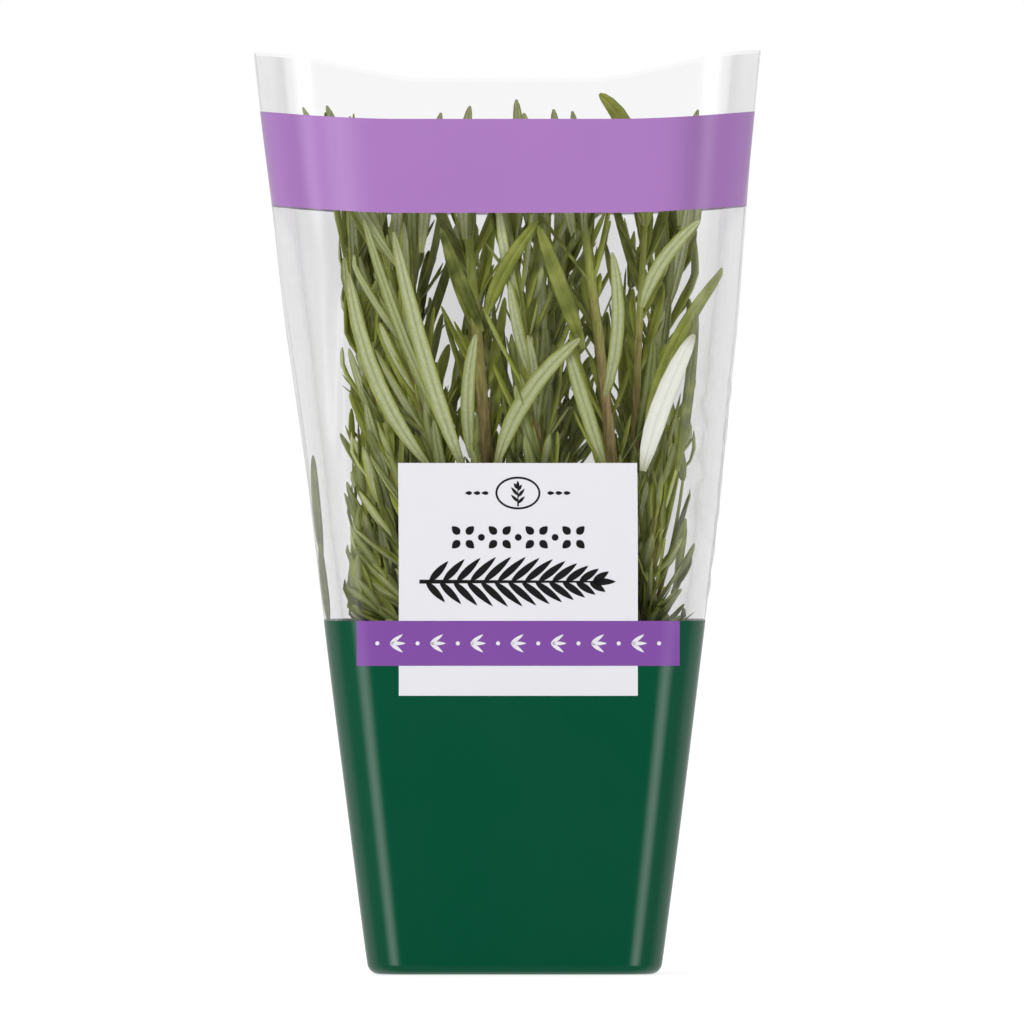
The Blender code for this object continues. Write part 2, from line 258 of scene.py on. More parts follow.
def front_point(x, z, offset, back=False):
    """The point of the front (or back) film that is at this x and z, this far outside the film."""
    x, z = np.asarray(x, float), np.asarray(z, float)
    half, corner = half_at(z), corner_at(z)
    flat = half - corner
    turn = np.arcsin(np.clip((abs(x) - flat) / corner, 0, 0.99))
    way = 1.0 if back else -1.0
    y = way * (flat + corner * np.cos(turn))
    points = np.stack([x, y, z], axis=-1)
    normals = np.stack([np.sign(x) * np.sin(turn), way * np.cos(turn), -slope_at(z)], axis=-1)
    normals /= np.linalg.norm(normals, axis=-1, keepdims=True)
    return points + normals * (offset + film_relief(points))[..., None]


# ---- mesh helpers


class Pile:
    """Meshes gathered into one: points, faces, and named numbers for each point."""

    def __init__(self, *names):
        self.points, self.faces, self.values, self.count = [], [], {n: [] for n in names}, 0

    def add(self, points, faces, **values):
        points = np.asarray(points, float).reshape(-1, 3)
        self.points.append(points + np.outer(lean(points[:, 2]), (1, 0, 0)))
        self.faces.extend([[i + self.count for i in face] for face in faces])
        for name, held in self.values.items():
            held.append(np.broadcast_to(np.asarray(values[name], float), len(points)))
        self.count += len(points)

    def piece(self, name, slot, finish, replaced=(), sharp=None):
        mesh = bpy.data.meshes.new(name)
        mesh.from_pydata(np.concatenate(self.points).tolist(), [], self.faces)
        for key, held in self.values.items():
            mesh.attributes.new(key, "FLOAT", "POINT").data.foreach_set("value", np.concatenate(held))
        mesh.shade_smooth()
        if sharp:
            mesh.set_sharp_from_angle(angle=sharp)
        mesh.materials.append(finish)
        made = bpy.data.objects.new(name, mesh)
        bpy.context.scene.collection.objects.link(made)
        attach(made, BODY)
        if replaced:
            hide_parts(*replaced)
        return made


def grid_faces(rows, count, closed=False):
    """Quads between rows of this many points each; closed rows run round."""
    faces = []
    for r in range(rows - 1):
        for i in range(count if closed else count - 1):
            j = (i + 1) % count
            a, b = r * count, (r + 1) * count
            faces.append([a + i, a + j, b + j, b + i])
    return faces


def capped_faces(rows, count):
    """Quads between closed rows, with a face over the first row and one over the last."""
    last = (rows - 1) * count
    return grid_faces(rows, count, closed=True) + [list(range(count))[::-1], list(range(last, last + count))]


# ---- node material helpers


def rgb(text):
    """A linear colour from its usual hexadecimal form."""
    parts = [int(text[i:i + 2], 16) / 255 for i in (0, 2, 4)]
    return tuple(p / 12.92 if p <= 0.04045 else ((p + 0.055) / 1.055) ** 2.4 for p in parts)


class Shader:
    """A short way to write the nodes of a material or a world."""

    def __init__(self, name, world=False):
        self.made = (bpy.data.worlds if world else bpy.data.materials).new(name)
        self.made.use_nodes = True
        self.tree = self.made.node_tree
        self.tree.nodes.clear()
        self.output = self.node("OutputWorld" if world else "OutputMaterial")

    def node(self, kind, inputs=None, **settings):
        made = self.tree.nodes.new("ShaderNode" + kind)
        for key, value in settings.items():
            setattr(made, key, value)
        for key, value in (inputs or {}).items():
            socket = made.inputs[key]
            if isinstance(value, bpy.types.NodeSocket):
                self.tree.links.new(value, socket)
            else:
                socket.default_value = value
        return made

    def value(self, name):
        return self.node("Attribute", attribute_name=name).outputs["Fac"]

    def noise(self, scale, detail, stretch=(1, 1, 1)):
        where = self.node("TexCoord").outputs["Object"]
        mapped = self.node("Mapping", {"Vector": where, "Scale": stretch}).outputs[0]
        return self.node("TexNoise", {"Vector": mapped, "Scale": scale, "Detail": detail}).outputs["Fac"]

    def span(self, value, low, high, to_low=0.0, to_high=1.0):
        inputs = {"Value": value, "From Min": low, "From Max": high, "To Min": to_low, "To Max": to_high}
        return self.node("MapRange", inputs).outputs[0]

    def mottle(self, scale, detail, *limits):
        return self.span(self.noise(scale, detail), *limits)

    def math(self, how, a, b):
        return self.node("Math", {0: a, 1: b}, operation=how).outputs[0]

    def mix(self, share, a, b):
        """One colour mixed into another; a colour is a socket, three numbers or hexadecimal text."""
        a, b = (rgb(c) if isinstance(c, str) else c for c in (a, b))
        a, b = ((*c, 1.0) if isinstance(c, tuple) else c for c in (a, b))
        return self.node("Mix", {0: share, 6: a, 7: b}, data_type="RGBA").outputs[2]

    def bump(self, height, distance, strength):
        return self.node("Bump", {"Height": height, "Distance": distance, "Strength": strength}).outputs[0]

    def principled(self, colour, roughness, level=0.5, **inputs):
        inputs = {"Base Color": colour, "Roughness": roughness, "Specular IOR Level": level, **inputs}
        return self.node("BsdfPrincipled", inputs).outputs[0]

    def plain(self, kind, colour, **inputs):
        """A surface of one colour, given as a socket or three numbers."""
        colour = (*colour, 1.0) if isinstance(colour, tuple) else colour
        return self.node(kind, {"Color": colour, **inputs}).outputs[0]

    def blend(self, share, a, b):
        return self.node("MixShader", {0: share, 1: a, 2: b}).outputs[0]

    def done(self, surface):
        self.tree.links.new(surface, self.output.inputs["Surface"])
        return self.made


def clear_film():
    """Clear film with a slight haze, which grows where the film turns away and thins out again at its very edge."""
    s = Shader("clear_film")
    rough = s.mottle(60, 4, 0.3, 0.7, 0.19, 0.25)
    bump = s.bump(s.noise(350, 2), 0.00002, 0.5)
    gloss = s.plain("BsdfGlossy", (1, 1, 1), Roughness=rough, Normal=bump)
    haze = s.plain("BsdfDiffuse", s.mix(s.noise(25, 3), (0.68, 0.68, 0.71), (0.79, 0.79, 0.81)))
    through = s.plain("BsdfTransparent", (0.996, 0.996, 0.997))
    crease = s.math("MULTIPLY", s.value("crease"), 0.4)
    hazy = s.math("ADD", s.mottle(40, 5, 0.45, 0.8, 0.0, 0.006), crease)
    edge = s.node("LayerWeight", {"Blend": 0.5}).outputs["Facing"]
    hazy = s.math("ADD", hazy, s.span(edge, 0.06, 0.35, 0.0, 0.17))
    hazy = s.math("SUBTRACT", hazy, s.span(edge, 0.5, 0.9, 0.0, 0.09))
    mirror = s.node("Fresnel", {"IOR": 1.5}).outputs[0]
    mirror = s.math("MINIMUM", s.math("MULTIPLY", mirror, 0.9), 0.26)
    return s.done(s.blend(mirror, s.blend(hazy, through, haze), gloss))


def ink(name, colour, roughness, level, depth=0.04, shaded=False):
    """Opaque print on film: an even colour with a faint mottle, under the film's soft gloss; when shaded, with painted
    shade and a painted highlight in its colour.
    """
    s = Shader(name)
    darker = tuple(c * (1 - depth) for c in colour)
    tone = s.mix(s.mottle(30, 2, 0.15, 0.85), darker, colour)
    if shaded:
        # painted shade: the attribute shade darkens the print colour near the corners
        tone = s.mix(s.value("shade"), tone, tuple(c * 0.6 for c in colour))
        # painted highlight: the attribute light lightens the print colour beside the left corner
        tone = s.mix(s.value("light"), tone, tuple(c + 0.07 for c in colour))
    rough = s.mottle(22, 2, 0.15, 0.85, roughness - 0.04, roughness + 0.05)
    bump = s.bump(s.noise(900, 2), 0.00001, 0.4)
    return s.done(s.principled(tone, rough, level, Normal=bump))


def translucent_print():
    """Thin white print that lets light through and thins out to clear film by the attribute fade."""
    s = Shader("back_print")
    tone = s.mix(s.mottle(30, 2, 0.15, 0.85), (0.84, 0.84, 0.855), (0.87, 0.87, 0.885))
    rough = s.mottle(22, 2, 0.15, 0.85, 0.3, 0.4)
    front = s.principled(tone, rough, 0.2)
    layer = s.blend(0.6, front, s.plain("BsdfTranslucent", tone))
    return s.done(s.blend(s.value("fade"), layer, s.plain("BsdfTransparent", (1, 1, 1))))


def leaf_finish():
    """A needle: glossy green above with a paler groove, felted and grey-green below."""
    s = Shader("leaf")
    tone, felt, along = s.value("tone"), s.value("felt"), s.value("along")
    fine = s.noise(900, 3)
    upper = s.mix(tone, "3d4a03", "acb64a")
    upper = s.mix(s.mottle(180, 3, 0.35, 0.7, 0.0, 0.5), upper, "bcc262")
    lower = s.mix(tone, "a3ad68", "dee3c2")
    pale = s.math("MULTIPLY", s.span(tone, 1.0, 2.0), 0.85)  # a tone above 1 makes the leaf paler, nearly white at 2
    lower = s.mix(s.span(fine, 0.3, 0.7, 0.0, 0.3), lower, "7c8a48")
    colour = s.mix(pale, s.mix(felt, upper, lower), "fbfbf6")
    tip = s.math("MULTIPLY", s.span(along, 0.9, 1.0), s.span(tone, 0.4, 1.0, 0.0, 0.55))
    colour = s.mix(tip, colour, "8a7a3a")
    colour = s.mix(s.span(along, 0.0, 0.14, 0.6, 0.0), colour, "a9ad6c")
    rough = s.math("ADD", s.math("MULTIPLY", felt, 0.36), 0.35)
    bump = s.bump(fine, 0.00006, 0.5)
    top = s.principled(colour, rough, 0.55, Normal=bump)
    glow = s.plain("BsdfTranslucent", s.mix(0.5, colour, "93a53a"))
    return s.done(s.blend(0.16, top, glow))


def bark_finish():
    """Young stem: green near the tip, tan to brown bark with fine lengthwise cracks below."""
    s = Shader("stem_bark")
    streak = s.noise(1400, 4, stretch=(1, 1, 0.12))
    wood = s.mix(s.span(streak, 0.35, 0.65), "86734a", "b5a472")
    wood = s.mix(s.mottle(220, 3, 0.45, 0.7, 0.0, 0.5), wood, "8d7c54")
    green = s.mix(s.span(streak, 0.3, 0.7), "8a9444", "a9b060")
    share = s.span(s.math("ADD", s.value("green"), s.mottle(120, 3, 0, 1, -0.12, 0.12)), 0.6, 0.85)
    colour = s.mix(share, wood, green)
    bump = s.bump(streak, 0.00025, 0.7)
    return s.done(s.principled(colour, 0.72, 0.25, Normal=bump))


def compost_finish():
    """Dark crumbly compost with lighter fibres."""
    s = Shader("compost")
    tone = s.mix(s.mottle(500, 6, 0.35, 0.65), "1c130c", "4a3523")
    tone = s.mix(s.mottle(160, 4, 0.58, 0.7), tone, "6d5236")
    bump = s.bump(s.noise(700, 6), 0.0006, 0.9)
    rough = s.mottle(90, 3, 0.3, 0.7, 0.7, 0.98)
    return s.done(s.principled(tone, rough, 0.25, Normal=bump))


def pot_finish():
    """Thin black plastic with a little dust of compost."""
    s = Shader("pot_plastic")
    tone = s.mix(s.mottle(30, 4, 0.3, 0.7), (0.014, 0.014, 0.015), (0.03, 0.029, 0.028))
    dust = s.mottle(120, 6, 0.58, 0.75, 0.0, 0.5)
    tone = s.mix(dust, tone, "3b2c1f")
    rough = s.mottle(60, 4, 0.3, 0.7, 0.38, 0.6)
    bump = s.bump(s.noise(1200, 2), 0.00003, 0.5)
    return s.done(s.principled(tone, rough, Normal=bump))


# ---- film and print


CREASE_DEPTH = 0.00125  # a dent this deep looks fully creased


def build_tube(name, slot, finish, points, replaced=(), **values):
    """A piece that runs all round the sleeve, from rows of points."""
    tube = Pile(*values)
    tube.add(points, grid_faces(*points.shape[:2], closed=True), **values)
    tube.piece(name, slot, finish, replaced)


def build_film():
    walls = GREEN_LEVELS + CLEAR_LEVELS[1:] + BAND_LEVELS[1:] + RIM_LEVELS[1:]
    points = np.concatenate([underside_points(0.0), wall_points(walls, 0.0)])
    crease = np.clip(dent(points.reshape(-1, 3)) / CREASE_DEPTH, 0, 1)  # where the film looks whiter
    build_tube("film_sleeve", "clear_film", clear_film(), points, ("sleeve_front", "sleeve_back"), crease=crease)


def at_front(points, place, width):
    """1 on a line up the front at this share of the half width, and falling off to both sides of it."""
    x, y, z = points.reshape(-1, 3).T
    return np.exp(-(((x / half_at(z) - place) / width) ** 2)) * (y < 0)


def corner_painted_shade(points):
    """How much painted shade darkens the print just before the film turns each corner of the front."""
    return 0.62 * at_front(points, 0.79, 0.09) + 0.25 * at_front(points, -0.86, 0.06)


def corner_painted_highlight(points):
    """How strongly a painted highlight lightens the print beside the left corner of the front, where the film bows out.
    """
    return 0.85 * at_front(points, -0.69, 0.07)


GREEN = (0.0003, 0.0745, 0.035)
LILAC = (0.37, 0.174, 0.475)
PURPLE = (0.204, 0.067, 0.338)
WHITE = (0.715, 0.71, 0.748)
BLACK = (0.01, 0.01, 0.011)

# Label and ribbon: left, right, bottom, top
LABEL = (-0.034, 0.0361, 0.082, 0.1503)
RIBBON = (-0.0463, 0.0483, 0.0908, 0.104)
# The same for the thin print on the back, with left and right as shares of the half width
BACK_PANEL = (-0.98, 0.98, GREEN_TOP - 0.001, BAND_BOTTOM + 0.003)
BACK_FADE = 0.8  # share of the half width from which it thins out
SPACING, BACK_SPACING = 0.0015, 0.02  # between the points of a patch, and between columns of the back panel


def patch(name, slot, finish, box, offset, back=False):
    """A printed rectangle on the front or back film."""
    left, right, bottom, top = box
    x, z = levels_between(left, right, BACK_SPACING if back else SPACING), levels_between(bottom, top, SPACING)
    xs, zs = np.meshgrid(x[::-1] if back else x, z)
    values = {}
    if back:
        values["fade"] = smooth((abs(xs.ravel()) - BACK_FADE) / (right - BACK_FADE))
        xs = xs * half_at(zs)
    made = Pile(*values)
    made.add(front_point(xs, zs, offset, back), grid_faces(len(z), len(x)), **values)
    made.piece(name, slot, finish)


class Art:
    """Flat shapes printed on a sheet, each given in x and z."""

    def __init__(self, offset):
        self.pile, self.offset = Pile(), offset

    def shape(self, x, z):
        self.pile.add(front_point(x, z, self.offset), [list(range(len(x)))])

    def strip(self, x0, z0, x1, z1):
        """A band between two lines of points."""
        points = front_point(np.concatenate([x0, x1]), np.concatenate([z0, z1]), self.offset)
        self.pile.add(points, grid_faces(2, len(x0)))

    def leaf(self, x, z, length, width, angle):
        """A pointed oval that starts at x, z and points along the angle."""
        share = np.linspace(0, 1, 13)
        wide = width / 2 * np.sin(math.pi * share ** 0.8) ** 0.8
        along = np.concatenate([share * length, share[-2:0:-1] * length])
        across = np.concatenate([-wide, wide[-2:0:-1]])
        c, s = math.cos(angle), math.sin(angle)
        self.shape(x + along * c - across * s, z + along * s + across * c)

    def disc(self, x, z, radius):
        angles = math.tau * np.arange(24) / 24
        self.shape(x + radius * np.cos(angles), z + radius * np.sin(angles))

    def oval_ring(self, x, z, wide, high, line):
        angles = math.tau * np.arange(73) / 72
        c, s = np.cos(angles), np.sin(angles)
        self.strip(x + wide * c, z + high * s, x + (wide - line) * c, z + (high - line) * s)


def sprig(art, x, z, length, angle, leaf_length, leaf_width, pairs, line):
    """A rosemary sprig: a tapering stalk with pairs of narrow leaves and one at the tip."""
    c, s = math.cos(angle), math.sin(angle)
    run = np.linspace(0, length, 24)
    wide = line / 2 * (1 - 0.6 * run / length)
    art.strip(x + run * c + wide * s, z + run * s - wide * c, x + run * c - wide * s, z + run * s + wide * c)
    for i in range(pairs):
        share = (i + 0.6) / pairs
        at = share * length
        size = leaf_length * (0.62 + 0.75 * math.sin(math.pi * min(share * 0.8 + 0.1, 1)) - 0.3 * share)
        for way in (-1, 1):
            turned = angle + way * math.radians(48 - 16 * share)
            start = at + 0.12 * way * length / pairs
            art.leaf(x + start * c, z + start * s, size, leaf_width, turned)
    art.leaf(x + length * 0.97 * c, z + length * 0.97 * s, leaf_length * 0.8, leaf_width, angle)


def blossom(art, x, z, size):
    """Four petals round an open middle."""
    open_middle = 0.18 * size
    for i in range(4):
        angle = math.pi / 4 + i * math.pi / 2
        c, s = math.cos(angle), math.sin(angle)
        art.leaf(x + open_middle * c, z + open_middle * s, 0.42 * size, 0.3 * size, angle)


def build_print():
    green = np.concatenate([underside_points(INK_OFFSET), wall_points(GREEN_LEVELS, INK_OFFSET)])
    build_tube("green_print", "green_print", ink("green_print", GREEN, 0.17, 0.5), green)
    lilac = ink("lilac_print", LILAC, 0.24, 0.5, shaded=True)
    band = wall_points(BAND_LEVELS, INK_OFFSET)
    # the band's print gets painted shade near both front corners and a painted highlight near the left one, through the
    # attributes shade and light
    build_tube("lilac_band", "lilac_print", lilac, band, shade=corner_painted_shade(band), light=corner_painted_highlight(band))
    white, purple = ink("white_print", WHITE, 0.32, 0.25, 0.02), ink("purple_print", PURPLE, 0.3, 0.3)
    black = ink("dark_ink", BLACK, 0.35, 0.3)
    patch("front_label", "white_print", white, LABEL, LABEL_OFFSET)
    patch("ribbon", "purple_print", purple, RIBBON, RIBBON_OFFSET)
    patch("back_panel", "white_print", translucent_print(), BACK_PANEL, BACK_OFFSET, back=True)

    # From the top: a sprig in an oval with three leaves at each side, a row of blossoms, a lying sprig
    art = Art(LABEL_OFFSET + ART_OFFSET)
    middle, level = (LABEL[0] + LABEL[1]) / 2, 0.1415
    art.oval_ring(middle, level, 0.0066, 0.0048, 0.0006)
    sprig(art, middle, 0.1376, 0.0056, math.pi / 2, 0.0026, 0.0009, 3, 0.0005)
    for way in (-1, 1):
        for i in range(3):
            art.leaf(middle + way * (0.0086 + 0.0024 * i), level, 0.0021, 0.0011, 0 if way > 0 else math.pi)
    level = 0.1285
    for i in range(-3, 4):
        x = middle + i * 0.0054
        if i % 2:
            blossom(art, x, level, 0.0076)
        else:
            art.disc(x, level, 0.001)
    sprig(art, middle - 0.029, 0.1155, 0.052, 0.0, 0.009, 0.0021, 13, 0.0012)
    art.pile.piece("label_artwork", "dark_ink", black)

    # Fans of three leaves with a dot between them
    art = Art(RIBBON_OFFSET + ART_OFFSET)
    middle, level = (RIBBON[0] + RIBBON[1]) / 2, (RIBBON[2] + RIBBON[3]) / 2
    for i in range(-7, 8):
        x = middle + i * 0.0059
        if i % 2:
            art.disc(x, level, 0.0006)
        else:
            for turn in (-35, 0, 35):
                art.leaf(x - 0.0022, level, 0.0046, 0.0011, math.radians(turn))
    art.pile.piece("ribbon_artwork", "white_print", white)


# ---- stems and leaves

# A needle's section: across from the middle, up from the middle of its thickness, and how felted it is.
# It is grooved above, its edges roll under, and a midrib stands between two felted bands below.
HALF_SECTION = (
    (0.00, 0.18, 0.0), (0.16, 0.34, 0.0), (0.45, 0.42, 0.0), (0.75, 0.3, 0.0), (0.95, 0.06, 0.0),
    (1.00, -0.16, 0.0), (0.9, -0.36, 0.1), (0.72, -0.36, 0.35), (0.62, -0.2, 0.9), (0.38, -0.12, 1.0),
    (0.15, -0.16, 0.85), (0.00, -0.34, 0.35),
)
NEEDLE_STATIONS = (0.0, 0.06, 0.16, 0.3, 0.46, 0.62, 0.78, 0.89, 0.96, 1.0)
NEEDLE_WIDTHS = (0.34, 0.52, 0.78, 0.97, 1.0, 0.96, 0.84, 0.66, 0.44, 0.16)
NEEDLE_DEPTHS = (0.9, 0.9, 1.0, 1.0, 1.0, 1.0, 0.92, 0.8, 0.6, 0.3)
SMALL_SECTION = ((0.0, 0.3, 0.0), (0.7, 0.34, 0.0), (1.0, -0.05, 0.0), (0.75, -0.36, 0.2), (0.0, -0.26, 0.9))
SMALL_STATIONS = (0.0, 0.12, 0.35, 0.62, 0.85, 1.0)
SMALL_WIDTHS = (0.4, 0.75, 1.0, 0.95, 0.7, 0.18)


def mirrored(half):
    """The whole outline from its right half, anticlockwise seen from the tip."""
    left = [(-x, y, f) for x, y, f in half[-2:0:-1]]
    return np.array(list(half) + left)[::-1]


SECTION, SMALL = mirrored(HALF_SECTION), mirrored(SMALL_SECTION)
THICKNESS = 0.36  # of a leaf, as a share of its width
LONE_THICKNESS = 0.32

FILM_MARGIN = 0.0012  # from a leaf's middle line to the film
TIP_LIMIT = 0.2555  # height that leaf tips don't pass


def press_inside(points, margin=FILM_MARGIN):
    """Points that would lie outside the film, moved in to where it presses them."""
    half = half_at(points[:, 2]) - margin
    corner = corner_at(points[:, 2]) - margin
    flat = half - corner
    x, y = points[:, 0].copy(), points[:, 1].copy()
    x, y = np.clip(x, -half, half), np.clip(y, -half, half)
    px, py = np.maximum(abs(x) - flat, 0), np.maximum(abs(y) - flat, 0)
    far = np.hypot(px, py)
    pull = np.where(far > corner, corner / np.maximum(far, 1e-9), 1.0)
    x = np.where(px > 0, np.sign(x) * (flat + px * pull), x)
    y = np.where(py > 0, np.sign(y) * (flat + py * pull), y)
    return np.stack([x, y, points[:, 2]], axis=1)


def bezier(start, bend, end, shares):
    s = np.asarray(shares)[:, None]
    return start * (1 - s) ** 2 + bend * 2 * s * (1 - s) + end * s ** 2


def unit(v):
    return v / max(np.linalg.norm(v), 1e-9)


def needle(pile, path, upper, width, thickness, tone, small=False, twist=0.0):
    """A leaf along a path; upper is the way that its upper side faces at the base."""
    outline = SMALL if small else SECTION
    widths = SMALL_WIDTHS if small else NEEDLE_WIDTHS
    depths = SMALL_WIDTHS if small else NEEDLE_DEPTHS
    stations = SMALL_STATIONS if small else NEEDLE_STATIONS
    tangents = np.gradient(path, axis=0)
    points = []
    side = unit(np.cross(tangents[0], upper))
    for k, centre in enumerate(path):
        along = unit(tangents[k])
        side = unit(side - along * (side @ along))
        above = np.cross(side, along)
        angle = twist * stations[k]
        wide = side * math.cos(angle) + above * math.sin(angle)
        high = above * math.cos(angle) - side * math.sin(angle)
        w, d = width / 2 * widths[k], thickness * depths[k]
        points.append(centre + outline[:, :1] * w * wide + outline[:, 1:2] * d * high)
    felt = np.tile(outline[:, 2], len(path))
    share = np.repeat(stations, len(outline))
    pile.add(points, capped_faces(len(path), len(outline)), felt=felt, tone=tone, along=share)


class Shoot:
    """A stem's middle line and thickness, read from its CAD solid."""

    def __init__(self, number):
        self.number = number
        points = vertices_of(f"stem_{number:02d}")
        levels = np.unique(np.round(points[:, 2], 4))
        rings = [points[abs(points[:, 2] - z) < 0.2 * MM] for z in levels]
        self.z = np.array([ring[:, 2].mean() for ring in rings])
        self.centre = np.array([ring[:, :2].mean(axis=0) for ring in rings])
        self.radius = np.array([np.linalg.norm(r[:, :2] - c, axis=1).mean() for r, c in zip(rings, self.centre)])
        self.tip = self.z[-1]

    def at(self, z):
        """The middle of the stem at a height, or straight on above its tip."""
        past = max(0.0, z - self.tip)
        slope = (self.centre[-1] - self.centre[-2]) / (self.z[-1] - self.z[-2])
        x = np.interp(z, self.z, self.centre[:, 0]) + past * slope[0]
        y = np.interp(z, self.z, self.centre[:, 1]) + past * slope[1]
        return np.array((x, y, z))

    def thickness(self, z):
        return float(np.interp(z, self.z, self.radius))

    def up(self, z):
        """The way that the stem grows at a height."""
        return unit(self.at(z + 0.008) - self.at(z - 0.004))


SHOOTS = [Shoot(n) for n in range(1, 12)]
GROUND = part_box("compost")[1].z

# Where stems stay in view from the front: their shoot, and from which height to which
SHOWN_STEMS = {3: (0.15, 0.214), 4: (0.15, 0.218), 5: (0.166, 0.216)}
STEM_CLEARANCE = 0.0021
STOUT = {3: 1.45, 4: 1.25}  # stems that are stouter than the others


def hides_stem(path):
    """Whether a leaf passes in front of a stem that stays in view."""
    for number, (low, high) in SHOWN_STEMS.items():
        shoot = SHOOTS[number - 1]
        for z in np.arange(max(low, path[:, 2].min()), min(high, path[:, 2].max()), 0.001):
            x, y = np.interp(z, path[:, 2], path[:, 0]), np.interp(z, path[:, 2], path[:, 1])
            centre = shoot.at(z)
            if abs(x - centre[0]) < STEM_CLEARANCE and y < centre[1]:
                return True
    return False


# Where the foliage leaves a gap, seen from the front, in millimetres: middle x and z, half width and half height
GAPS = (
    (48.4, 140, 2.2, 5.6), (43.4, 125, 2.2, 4.4), (43.8, 114, 1.6, 3.2),
    (51.4, 114, 1.8, 3.4), (57.5, 110, 4, 8), (-54.8, 221, 5.6, 7.5),
)


def in_gap(path):
    """Whether a leaf would pass through a gap."""
    for x, z, wide, high in np.array(GAPS) / PER_METRE:
        if (((path[:, 0] - x) / wide) ** 2 + ((path[:, 2] - z) / high) ** 2 < 1).any():
            return True
    return False


FOLIAGE_LEFT, FOLIAGE_RIGHT = -0.0475, 0.0525  # how far the foliage spreads below the band
FREE = 0.2  # and above it, which is as good as no limit


def side_limit(z, chance):
    """How far left and right the foliage spreads at a height, before it meets the film."""
    low = 1 - smooth((z - 0.228) / 0.02)
    left = FOLIAGE_LEFT + chance.uniform(-0.004, 0.003)
    right = FOLIAGE_RIGHT + chance.uniform(-0.003, 0.004)
    return left * low - FREE * (1 - low), right * low + FREE * (1 - low)


def fitted(path, chance):
    """A leaf's path kept inside the film and the room that the foliage takes."""
    over = path[-1, 2] - TIP_LIMIT + chance.uniform(0, 0.004)
    if over > 0:
        path = path[0] + (path - path[0]) * max(0.4, 1 - over / (path[-1, 2] - path[0, 2]))
    left, right = side_limit(path[1, 2], chance)
    if abs(path[0, 0]) < 0.05:
        path[1:, 0] = np.clip(path[1:, 0], left, right)
    return press_inside(path)


def outward_at(angle, up):
    """The way out from a stem at an angle round it, square to the way it grows."""
    outward = np.array((math.cos(angle), math.sin(angle), 0.0))
    return unit(outward - up * (outward @ up))


def spread_out(up, outward, spread):
    """The way that a leaf points at this angle from its stem."""
    return up * math.cos(spread) + outward * math.sin(spread)


def upper_side(up, outward, spread):
    return unit(up * math.sin(spread) - outward * math.cos(spread))


def grown_leaf(pile, shoot, z, angle, length, width, spread, curve, chance, small=False):
    """A leaf that grows from the stem at a height; curve is how much straighter up its tip points."""
    up = shoot.up(z)
    outward = outward_at(angle, up)
    start = shoot.at(z) + outward * shoot.thickness(z) * 0.7
    first, later = spread_out(up, outward, spread), spread_out(up, outward, spread * (1 - curve))
    sideways = np.cross(up, outward) * chance.uniform(-0.16, 0.16)
    bend = start + first * length * 0.5
    end = bend + unit(later + sideways) * length * 0.5
    stations = SMALL_STATIONS if small else NEEDLE_STATIONS
    path = fitted(bezier(start, bend, end, stations), chance)
    if hides_stem(path):
        return
    tone, twist = chance.uniform(0, 1), chance.uniform(-0.5, 0.5)
    if not in_gap(path):
        needle(pile, path, upper_side(up, outward, spread), width, width * THICKNESS, tone, small, twist)


# Leaves that show singly, in millimetres: shoot, then x and z of base, bend and tip, their depth behind the front
# film, width, tone, and whether the felted underside faces front
LONE_LEAVES = (
    (3, (-5, 150), (1, 172), (20, 186.8), (7, 3, 4), 5.2, 0.55, True),
    (2, (-15, 149), (-25.5, 174), (-34, 218), (7, 3, 8), 5, 0.7, True),
    (1, (-25.5, 150), (-44, 172), (-47.5, 206), (6, 3, 6), 5, 0.65, True),
    (3, (-12.5, 152), (-15, 170), (-10.5, 188), (10, 8, 8), 4.2, 0.5, True),
    (4, (26.4, 150), (20, 169), (16.4, 184), (8, 6, 7), 4.4, 0.5, True),
    (5, (39, 160), (44, 185), (63.2, 207.5), (14, 10, 6), 4.2, 0.45, False),
    (5, (38.5, 196), (42, 210), (56, 221.5), (14, 10, 8), 4.2, 0.6, True),
    (3, (-7, 194), (-4, 206), (8.5, 221.5), (20, 14, 10), 4.4, 0.5, False),
    (3, (-8.5, 189), (-15, 204), (-20, 219), (20, 13, 10), 3.8, 0.05, False),
    (4, (21, 184), (15, 201), (8.5, 220), (14, 8, 8), 4.8, 0.3, False),
    (2, (-20, 160), (-33, 185), (-43, 223), (10, 6, 9), 3.4, 0.35, True),
    (4, (27, 170), (34, 190), (30, 212), (16, 10, 10), 4, 0.6, True),
    (5, (37.8, 148), (42, 168), (53.5, 188), (4, 2, 4), 6, 2.0, True),
    (5, (48, 148), (52, 170), (54.5, 196), (14, 8, 8), 3.2, 0.15, False),
    (1, (-56.6, 122), (-58.6, 138), (-59, 152.5), (34, 30, 28), 2.5, 0.2, False),
    (1, (-54.6, 103), (-56.4, 114), (-57.2, 127), (30, 28, 28), 2.2, 0.1, False),
    (1, (-33, 208), (-48, 229), (-60, 254.5), (16, 10, 8), 3.6, 0.45, True),
    (2, (-36, 212), (-45, 233), (-53, 255), (20, 14, 12), 4, 0.5, True),
    (2, (-26, 212), (-24, 233), (-19.5, 253), (24, 20, 18), 4, 0.5, True),
    (3, (-13, 216), (-15, 236), (-11, 255), (26, 22, 20), 4.2, 0.6, True),
    (9, (6, 218), (4, 238), (2.6, 257), (40, 36, 34), 4, 0.45, True),
    (4, (19, 216), (15, 236), (13.5, 254), (24, 20, 18), 4, 0.5, True),
    (4, (22, 218), (22, 236), (19, 253.5), (28, 26, 24), 3.6, 0.4, True),
    (5, (40, 220), (40, 248), (27, 258.5), (22, 14, 12), 5.6, 0.6, False),
    (7, (50, 220), (51, 240), (56, 254), (40, 36, 34), 3.2, 0.7, True),
)


